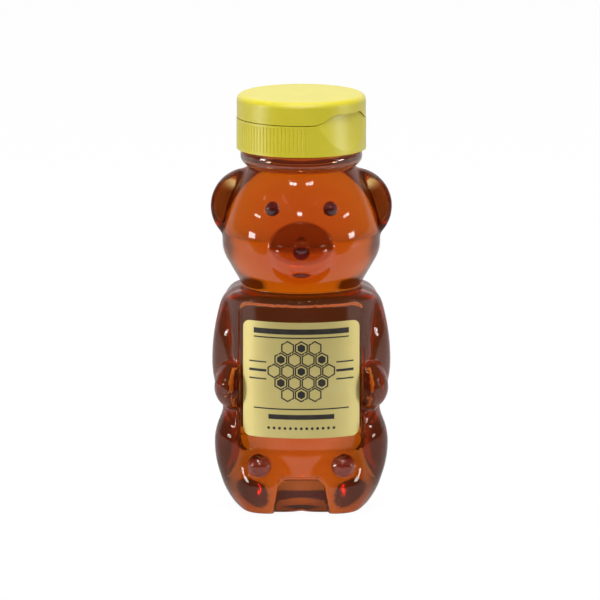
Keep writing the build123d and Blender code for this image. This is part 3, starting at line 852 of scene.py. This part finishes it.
def black_ink():
    mat, tree, shader = material("black_ink")
    tone = tree.ramp(tree.noise(scale=400), (0.012, 0.010, 0.008), (0.03, 0.024, 0.016))
    tree.set(shader.inputs["Base Color"], tone)
    shader.inputs["Roughness"].default_value = 0.5
    return mat


def dress(node, mat):
    """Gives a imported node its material."""
    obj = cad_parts[node]
    if not obj.material_slots:
        obj.data.materials.append(mat)
    for slot in obj.material_slots:
        slot.material = mat


bottle = make_bottle()
bottle.data.materials.append(clear_plastic())
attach(bottle, "bottle")
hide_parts("bottle_shell")

honey = make_honey()
honey.data.materials.append(honey_liquid())
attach(honey, "bottle")
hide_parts("honey_fill")

yellow = yellow_plastic()
for node in ("cap_base", "cap_lid"):
    dress(node, yellow)
dress("cap_liner", white_foam())
gold = gold_foil()
for node in ("front_label", "back_label"):
    dress(node, gold)

strap = make_strap()
strap.data.materials.append(yellow)
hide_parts("living_hinge")

printed = make_print()
printed.data.materials.append(black_ink())
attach(printed, "bottle")

# Stage, lights and camera

SEEN_WHITE = 1.03
FLOOR_REACH_M, FLOOR_DROP_M = 3.0, 0.0004
SHEET_FROM_M, SHEET_TO_M = -0.19, -0.15
SHEET_ALBEDO, TABLE_TONE = 0.68, (0.08, 0.07, 0.06)
SHEET_SEEN, SHEET_MIRRORED = 0.94, 0.36


def pale_floor():
    """White to the camera but for a soft shadow; to the rest a pale sheet, dark far in front."""
    mat, tree, shader = material("pale_floor")
    shader.inputs["Roughness"].default_value = 0.7
    sheet = tree.remap(tree.parts(tree.place())[1], SHEET_FROM_M, SHEET_TO_M)
    tone = tree.ramp(sheet, TABLE_TONE, SHEET_ALBEDO, start=0, stop=1)
    tree.set(shader.inputs["Base Color"], tone)
    grain = tree.noise(scale=12, detail=2)
    tree.bump(shader, grain, strength=0.03, distance_m=0.0005)
    path = tree.nodes.new("ShaderNodeLightPath")
    seen = tree.math("MULTIPLY", path.outputs["Is Camera Ray"], SHEET_SEEN)
    on_sheet = tree.math("MULTIPLY", path.outputs["Is Glossy Ray"], sheet)
    share = tree.math("MAXIMUM", seen, tree.math("MULTIPLY", on_sheet, SHEET_MIRRORED))
    surface = tree.mix_shaders(share, shader.outputs[0], tree.glow((1, 1, 1), SEEN_WHITE))
    tree.links.new(surface, tree.nodes["Material Output"].inputs["Surface"])
    return mat


floor_mesh = bmesh.new()
bmesh.ops.create_grid(floor_mesh, x_segments=8, y_segments=8, size=FLOOR_REACH_M)
floor_data = bpy.data.meshes.new("floor")
floor_mesh.to_mesh(floor_data)
floor_mesh.free()
floor = bpy.data.objects.new("floor", floor_data)
bpy.context.scene.collection.objects.link(floor)
floor.location = (0, 0, -FLOOR_DROP_M)
floor.data.materials.append(pale_floor())

WORLD_BEHIND, WORLD_DIM = (0.45, 0.75), 0.17


def make_world():
    """White behind the bear and dim elsewhere, but plain white all round to the camera."""
    world = bpy.data.worlds.new("studio")
    bpy.context.scene.world = world
    tree = Tree(world)
    tree.nodes.clear()
    back = tree.parts(tree.place("Generated"))[1]
    behind = tree.remap(back, *WORLD_BEHIND, WORLD_DIM, 1.0, smooth=True)
    seen = tree.nodes.new("ShaderNodeLightPath").outputs["Is Camera Ray"]
    plain = tree.math("MULTIPLY", seen, SEEN_WHITE)
    sky = tree.nodes.new("ShaderNodeBackground")
    tree.set(sky.inputs["Strength"], tree.math("MAXIMUM", behind, plain))
    out = tree.nodes.new("ShaderNodeOutputWorld")
    tree.links.new(sky.outputs[0], out.inputs["Surface"])


make_world()

LAMP_MIDDLE_M = Vector((0, 0, 0.085))
LAMP_REACH_M = 1.0

# Name, degrees to the side and up from the camera's side, width and height in metres, watts
WINDOWS = (
    ("left_window", -78, 2, (0.20, 0.07), 1.9),
    ("left_upper", -74, 17, (0.20, 0.03), 0.5),
    ("right_window", 80, 2, (0.20, 0.07), 1.1),
    ("right_upper", 76, 17, (0.20, 0.03), 0.5),
    ("front", -3, 27, (0.12, 0.06), 1.4),
    ("front_high_left", -22, 54, (0.20, 0.05), 1.6),
    ("front_high_right", 22, 54, (0.20, 0.05), 1.6),
)
SKY = ("sky", 0, 88, (0.8, 0.8), 7.4)


def lamp(name, side, rise, size_m, watts, mirrored=True):
    """A soft lamp on a sphere round the bear, which gloss and glass may show or not."""
    turn, tilt = math.radians(side), math.radians(rise)
    level = math.cos(tilt)
    way = Vector((math.sin(turn) * level, -math.cos(turn) * level, math.sin(tilt)))
    data = bpy.data.lights.new(name, "AREA")
    data.shape = "RECTANGLE"
    data.size, data.size_y = size_m
    data.energy = watts
    obj = bpy.data.objects.new(name, data)
    obj.location = LAMP_MIDDLE_M + way * LAMP_REACH_M
    obj.rotation_euler = (-way).to_track_quat("-Z", "Y").to_euler()
    obj.visible_glossy = mirrored
    obj.visible_transmission = mirrored
    bpy.context.scene.collection.objects.link(obj)


for window in WINDOWS:
    lamp(*window)
lamp(*SKY, mirrored=False)

scene = bpy.context.scene
scene.view_settings.view_transform = "Standard"

CAMERA_AWAY_M = 5.0
CAMERA_RISE = math.radians(10)
CAMERA_AIM_M = Vector((-0.00046, NECK_Y * MM, 0.07214))
PHOTO_WIDTH_M = 0.21
SENSOR = 36

camera_data = bpy.data.cameras.new("camera")
camera_data.sensor_width = SENSOR
camera_data.lens = SENSOR * CAMERA_AWAY_M / PHOTO_WIDTH_M
camera_data.clip_start = 0.05
camera = bpy.data.objects.new("camera", camera_data)
away = Vector((0, -math.cos(CAMERA_RISE), math.sin(CAMERA_RISE)))
camera.location = CAMERA_AIM_M + away * CAMERA_AWAY_M
camera.rotation_euler = (-away).to_track_quat("-Z", "Y").to_euler()
scene.collection.objects.link(camera)
scene.camera = camera
